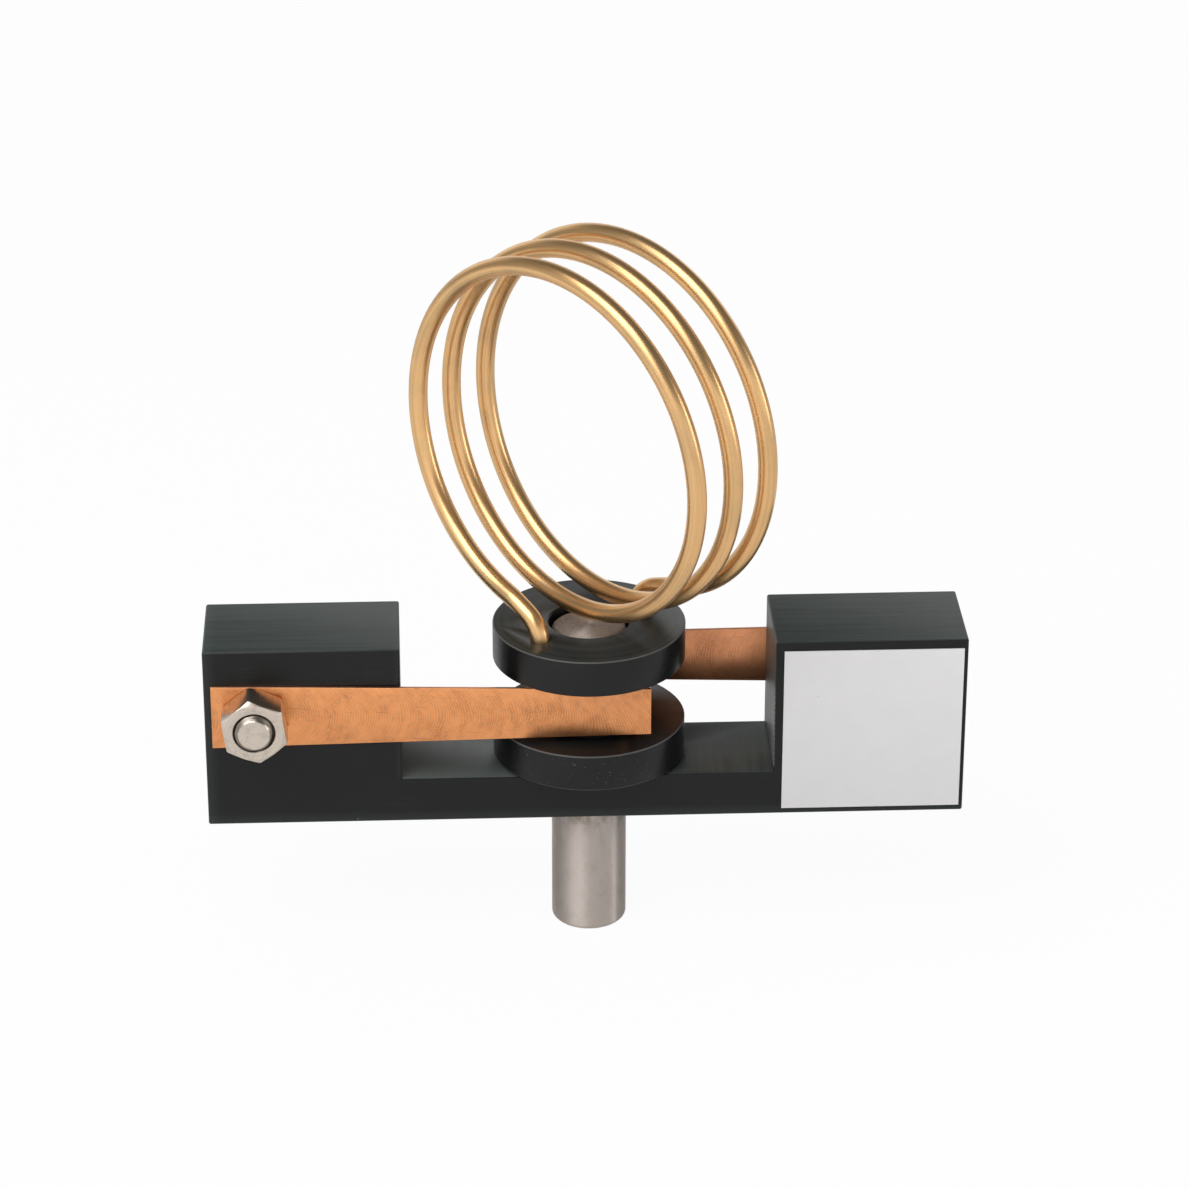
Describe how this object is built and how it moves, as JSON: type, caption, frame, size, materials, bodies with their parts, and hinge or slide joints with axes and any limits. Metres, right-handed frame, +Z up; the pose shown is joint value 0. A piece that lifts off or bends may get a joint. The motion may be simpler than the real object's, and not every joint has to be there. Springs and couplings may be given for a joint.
{
  "type": "demonstration electric motor",
  "caption": "Classroom electric motor: a bare wire coil and its disc rotor turn on a steel rod between copper strip brushes on a black bar; the rod is also the stand stem.",
  "frame": {"origin": "on the axis of the steel rod, at the underside of the bar, where a stand clamp or a socket would meet the bar", "axes": "+X along the bar towards the block with the label, +Y away from the side of the front brush, +Z up along the rod"},
  "size_m": [0.1002, 0.0448, 0.0978],
  "materials": {
    "black_plastic": "milled black plastic",
    "disc_plastic": "turned black plastic",
    "hub_plastic": "turned black plastic",
    "washer_plastic": "white slippery plastic",
    "ground_steel": "ground",
    "terminal_steel": "bright nickelled",
    "front_copper": "rubbed copper sheet",
    "rear_copper": "rubbed copper sheet, a little darker",
    "commutator_copper": "copper polished by the brushes",
    "coil_brass": "drawn brass wire",
    "solder": "solder",
    "label": "satin pale grey film"
  },
  "bodies": {
    "frame": {"base_bar": "black_plastic", "axle_rod": "ground_steel", "thrust_washer": "washer_plastic", "front_brush": "front_copper", "rear_brush": "rear_copper", "front_stud": "terminal_steel", "rear_stud": "terminal_steel", "front_nut": "terminal_steel", "rear_nut": "terminal_steel", "label_plate": "label"},
    "rotor": {"lower_disc": "disc_plastic", "upper_disc": "disc_plastic", "commutator_hub": "hub_plastic", "commutator_segment_a": "commutator_copper", "commutator_segment_b": "commutator_copper", "coil": "coil_brass", "solder_joints": "solder"}
  },
  "joints": [
    {"name": "rotor_spin", "type": "hinge", "parent": "frame", "child": "rotor", "pos_m": [0, 0, 0.0161], "axis": [0, 0, 1], "continuous": true}
  ]
}
